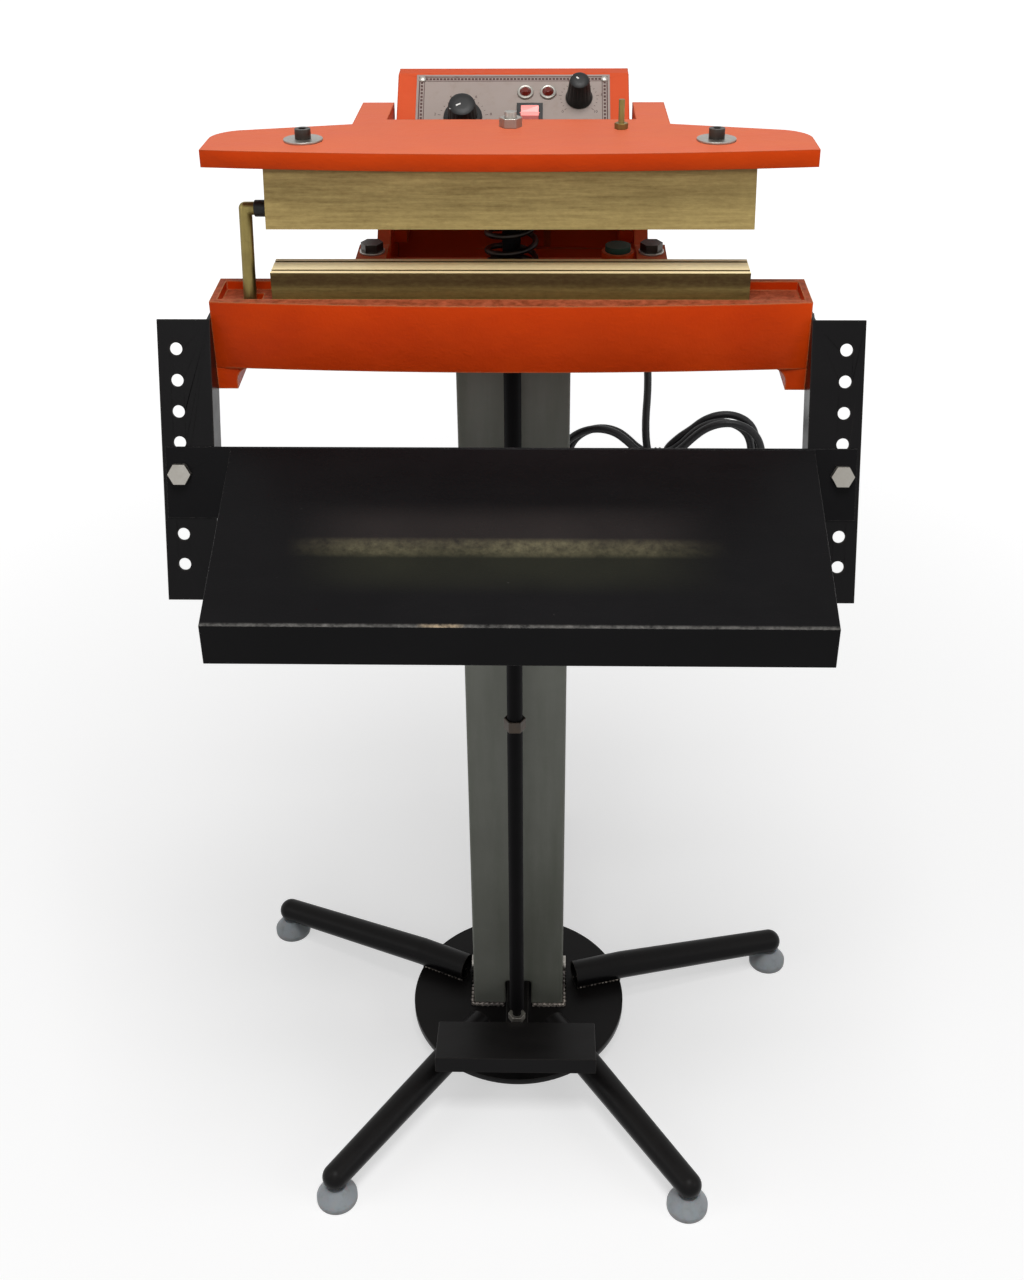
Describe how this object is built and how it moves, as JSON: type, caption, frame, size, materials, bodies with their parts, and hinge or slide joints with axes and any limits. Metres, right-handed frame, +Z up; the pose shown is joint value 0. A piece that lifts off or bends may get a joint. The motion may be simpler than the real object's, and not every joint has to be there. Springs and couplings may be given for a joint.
{
  "type": "foot pedal sealer",
  "caption": "Standing heat sealer with brass jaws on an orange cast head, closed by a foot pedal and pull rod, with a sloping work tray and a control box",
  "frame": {"origin": "on the floor, below the middle of the bounding box", "axes": "+X to the operator's right along the jaws, +Y away from the operator, +Z up"},
  "size_m": [0.654, 0.6732, 1.1249],
  "materials": {
    "orange_paint": "satin enamel over a casting",
    "black_paint": "semi-gloss enamel",
    "grey_paint": "satin enamel",
    "brass": "brushed and slightly tarnished",
    "zinc_steel": "zinc plated",
    "dark_steel": "black oxide",
    "bronze": "machined",
    "spring_steel": "oiled black",
    "glide_plastic": "translucent white",
    "pad_rubber": "dark green, matte",
    "panel_film": "light grey, printed",
    "knob_plastic": "moulded",
    "lamp_lens": "clear coloured lens in a rim",
    "rocker_plastic": "pale red rocker",
    "black_plastic": "moulded",
    "heater_steel": "heat stained",
    "cord_rubber": "black sheath"
  },
  "bodies": {
    "frame": {"base_disk": "black_paint", "leg_rear": "black_paint", "leg_left_rear": "black_paint", "leg_left_front": "black_paint", "leg_right_front": "black_paint", "leg_right_rear": "black_paint", "foot_glides": "glide_plastic", "column": "grey_paint", "column_cap": "grey_paint", "head_bolts": "zinc_steel", "body_frame": "orange_paint", "lower_beam": "orange_paint", "beam_washers": "zinc_steel", "beam_bolts": "dark_steel", "lower_jaw": "brass", "lower_heater": "heater_steel", "stop_pad": "pad_rubber", "arm_pivot_pins": "zinc_steel", "pedal_pin": "zinc_steel", "bracket_left": "black_paint", "bracket_right": "black_paint", "bracket_bolts": "dark_steel", "tray": "black_paint", "tray_bolts": "zinc_steel", "tray_nuts": "zinc_steel", "control_box": "orange_paint", "control_panel": "panel_film", "box_cover": "orange_paint", "regulators": "black_plastic", "pilot_lamps": "lamp_lens", "rocker_housing": "black_plastic", "cable_gland": "black_plastic", "cord_hank": "cord_rubber", "plug": "black_plastic", "power_cord": "cord_rubber", "return_spring": "spring_steel"},
    "arm": {"upper_arm": "orange_paint", "arm_bushes": "bronze", "upper_jaw": "brass", "upper_heater": "heater_steel", "jaw_screws": "dark_steel", "jaw_washers": "zinc_steel", "eye_bolt": "zinc_steel", "eye_nut": "zinc_steel", "stop_screw": "brass", "stop_nut": "brass", "wire_conduit": "brass", "conduit_sleeve": "black_plastic"},
    "rod": {"rod_fork": "dark_steel", "fork_pin": "zinc_steel", "spring_cup": "dark_steel", "pull_rod_upper": "black_paint", "rod_coupling": "zinc_steel", "pull_rod_lower": "black_paint", "rod_nuts": "zinc_steel"},
    "pedal": {"pedal_lever": "black_paint", "pedal_plate": "black_paint"},
    "timer_knob": {"timer_knob": "knob_plastic"},
    "temperature_knob": {"temperature_knob": "knob_plastic"},
    "rocker_switch": {"rocker_switch": "rocker_plastic"}
  },
  "joints": [
    {"name": "arm_hinge", "type": "hinge", "parent": "frame", "child": "arm", "pos_m": [-0.00836, 0.05481, 1.016], "axis": [1, 0, 0], "range_deg": [0, 12.9], "stiffness_Nm_per_rad": 45, "springref_deg": -31.51, "deforming": ["return_spring"]},
    {"name": "rod_hinge", "type": "hinge", "parent": "arm", "child": "rod", "pos_m": [-0.00836, -0.04119, 1.058], "axis": [1, 0, 0], "range_deg": [-12.7, 0]},
    {"name": "pedal_hinge", "type": "hinge", "parent": "frame", "child": "pedal", "pos_m": [-0.00836, 0.01881, 0.055], "axis": [1, 0, 0], "range_deg": [0, 10.8]},
    {"name": "timer_turn", "type": "hinge", "parent": "frame", "child": "timer_knob", "pos_m": [-0.05236, 0.03386, 1.08618], "axis": [0, -0.6211, 0.7837], "range_deg": [0, 270]},
    {"name": "temperature_turn", "type": "hinge", "parent": "frame", "child": "temperature_knob", "pos_m": [0.05014, 0.05031, 1.09923], "axis": [0, -0.6211, 0.7837], "range_deg": [0, 270]},
    {"name": "rocker_tip", "type": "hinge", "parent": "frame", "child": "rocker_switch", "pos_m": [0.00664, 0.03687, 1.08882], "axis": [1, 0, 0], "range_deg": [0, 14]}
  ],
  "couplings": [
    {"joint": "rod_hinge", "follows": "arm_hinge", "ratio": -0.9815},
    {"joint": "pedal_hinge", "follows": "arm_hinge", "ratio": 0.836}
  ]
}
